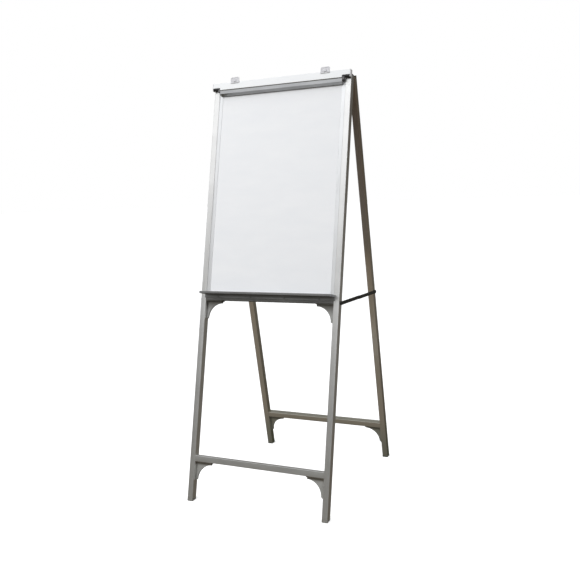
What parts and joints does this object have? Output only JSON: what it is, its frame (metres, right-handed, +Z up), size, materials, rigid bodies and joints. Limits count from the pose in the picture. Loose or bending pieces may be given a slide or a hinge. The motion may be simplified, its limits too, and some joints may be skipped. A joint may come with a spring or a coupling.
{
  "type": "flipchart easel",
  "caption": "Folding A-frame flipchart easel with a white writing board, spring clamp bar, sliding pad hooks, pen tray and folding side stays.",
  "frame": {"origin": "on the floor, under the middle of the footprint", "axes": "+Z up, +X to the reader's right along the header, the board faces -Y"},
  "size_m": [0.6732, 0.8128, 1.8276],
  "materials": {
    "frame_aluminium": "satin anodised",
    "trim_aluminium": "satin anodised",
    "tray_aluminium": "satin anodised",
    "header_aluminium": "pale satin powder coat",
    "board_enamel": "smooth white enamel",
    "board_fibre": "fibreboard",
    "board_backing": "matte grey primer",
    "black_plastic": "moulded, fine grain",
    "gusset_metal": "satin cast",
    "foot_plastic": "moulded",
    "grey_plastic": "moulded",
    "hook_plastic": "translucent grey",
    "rubber": "soft",
    "steel_fasteners": "zinc plated",
    "stay_black": "black coated steel strip"
  },
  "bodies": {
    "front_frame": {"front_leg_left": "frame_aluminium", "front_leg_right": "frame_aluminium", "front_lower_rail": "frame_aluminium", "front_mid_rail": "frame_aluminium", "board_face_sheet": "board_enamel", "board_core": "board_fibre", "board_back_sheet": "board_backing", "board_trim_left": "trim_aluminium", "board_trim_right": "trim_aluminium", "board_trim_bottom": "trim_aluminium", "board_trim_top": "trim_aluminium", "header_profile": "header_aluminium", "header_end_cap_left": "grey_plastic", "header_end_cap_right": "grey_plastic", "tray_profile": "tray_aluminium", "tray_end_cap_left": "grey_plastic", "tray_end_cap_right": "grey_plastic", "tray_screws": "steel_fasteners", "hinge_block_left": "black_plastic", "hinge_block_right": "black_plastic", "hinge_pin_left": "steel_fasteners", "hinge_pin_right": "steel_fasteners", "clamp_bracket_left": "tray_aluminium", "clamp_bracket_right": "tray_aluminium", "tray_gusset_left": "gusset_metal", "tray_gusset_right": "gusset_metal", "front_gusset_left": "gusset_metal", "front_gusset_right": "gusset_metal", "front_gusset_screws": "steel_fasteners", "front_foot_left": "foot_plastic", "front_foot_right": "foot_plastic", "stay_pivot_left": "stay_black", "stay_pivot_right": "stay_black"},
    "rear_frame": {"rear_leg_left": "frame_aluminium", "rear_leg_right": "frame_aluminium", "rear_lower_rail": "frame_aluminium", "rear_hinge_fitting_left": "black_plastic", "rear_hinge_fitting_right": "black_plastic", "rear_gusset_left": "gusset_metal", "rear_gusset_right": "gusset_metal", "rear_gusset_screws": "steel_fasteners", "rear_foot_left": "foot_plastic", "rear_foot_right": "foot_plastic"},
    "clamp": {"clamp_bar": "tray_aluminium", "clamp_end_cap_left": "black_plastic", "clamp_end_cap_right": "black_plastic", "clamp_rubber_strip": "rubber"},
    "pad_hook_left": {"hook_left": "hook_plastic", "hook_shoe_left": "grey_plastic"},
    "pad_hook_right": {"hook_right": "hook_plastic", "hook_shoe_right": "grey_plastic"},
    "stay_front_left": {"stay_front_half_left": "stay_black"},
    "stay_front_right": {"stay_front_half_right": "stay_black"},
    "stay_rear_left": {"stay_rear_half_left": "stay_black", "stay_centre_rivet_left": "stay_black", "stay_rear_rivet_left": "stay_black"},
    "stay_rear_right": {"stay_rear_half_right": "stay_black", "stay_centre_rivet_right": "stay_black", "stay_rear_rivet_right": "stay_black"}
  },
  "joints": [
    {"name": "fold", "type": "hinge", "parent": "front_frame", "child": "rear_frame", "pos_m": [0, 0.04864, 1.776], "axis": [-1, 0, 0], "range_deg": [0, 23.8]},
    {"name": "clamp_open", "type": "hinge", "parent": "front_frame", "child": "clamp", "pos_m": [0, 0.00239, 1.76954], "axis": [-1, 0, 0], "range_deg": [0, 24], "stiffness_Nm_per_rad": 1.2, "springref_deg": -20.05},
    {"name": "hook_slide_left", "type": "slide", "parent": "front_frame", "child": "pad_hook_left", "axis": [1, 0, 0], "range_m": [-0.06, 0.12]},
    {"name": "hook_slide_right", "type": "slide", "parent": "front_frame", "child": "pad_hook_right", "axis": [1, 0, 0], "range_m": [-0.12, 0.06]},
    {"name": "stay_front_left", "type": "hinge", "parent": "front_frame", "child": "stay_front_left", "pos_m": [-0.332, -0.18869, 0.85312], "axis": [1, 0, 0], "range_deg": [0, 73.53]},
    {"name": "stay_rear_left", "type": "hinge", "parent": "stay_front_left", "child": "stay_rear_left", "pos_m": [-0.332, 0.02433, 0.84755], "axis": [-1, 0, 0], "range_deg": [0, 170.86]},
    {"name": "stay_front_right", "type": "hinge", "parent": "front_frame", "child": "stay_front_right", "pos_m": [0.332, -0.18869, 0.85312], "axis": [1, 0, 0], "range_deg": [0, 73.53]},
    {"name": "stay_rear_right", "type": "hinge", "parent": "stay_front_right", "child": "stay_rear_right", "pos_m": [0.332, 0.02433, 0.84755], "axis": [-1, 0, 0], "range_deg": [0, 170.86]}
  ],
  "couplings": [
    {"joint": "stay_front_left", "follows": "fold", "ratio": 3.0893},
    {"joint": "stay_rear_left", "follows": "fold", "ratio": 7.1785},
    {"joint": "stay_front_right", "follows": "fold", "ratio": 3.0893},
    {"joint": "stay_rear_right", "follows": "fold", "ratio": 7.1785}
  ]
}
